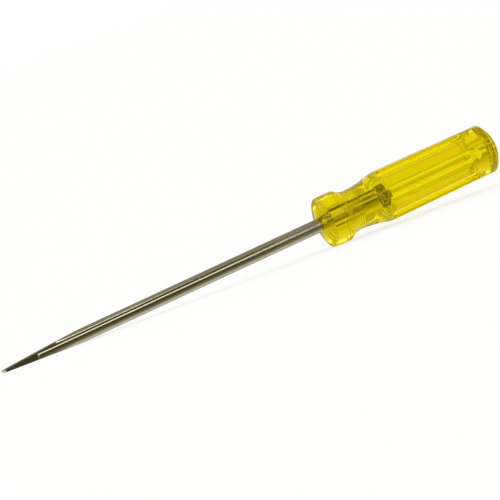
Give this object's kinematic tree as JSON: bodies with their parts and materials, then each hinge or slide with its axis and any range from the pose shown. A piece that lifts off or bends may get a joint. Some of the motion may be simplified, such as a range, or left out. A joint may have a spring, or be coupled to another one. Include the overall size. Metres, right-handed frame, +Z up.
{
  "type": "flathead screwdriver",
  "caption": "Flathead screwdriver with a round plated steel shank, a forged and ground slotted tip, and a fluted handle of clear yellow plastic through which the tang shows.",
  "frame": {"origin": "on the tool's axis, where the shank leaves the handle", "axes": "+X along the axis from the tip to the butt, +Z up with the blade's broad faces level, so +Y lies across the blade's width"},
  "size_m": [0.234, 0.0218, 0.022],
  "materials": {
    "plated_steel": "polished nickel plate on steel, with a bare ground tip",
    "clear_yellow_acetate": "clear, glossy, yellow all through"
  },
  "bodies": {
    "root": {"blade": "plated_steel", "handle": "clear_yellow_acetate"}
  },
  "joints": []
}
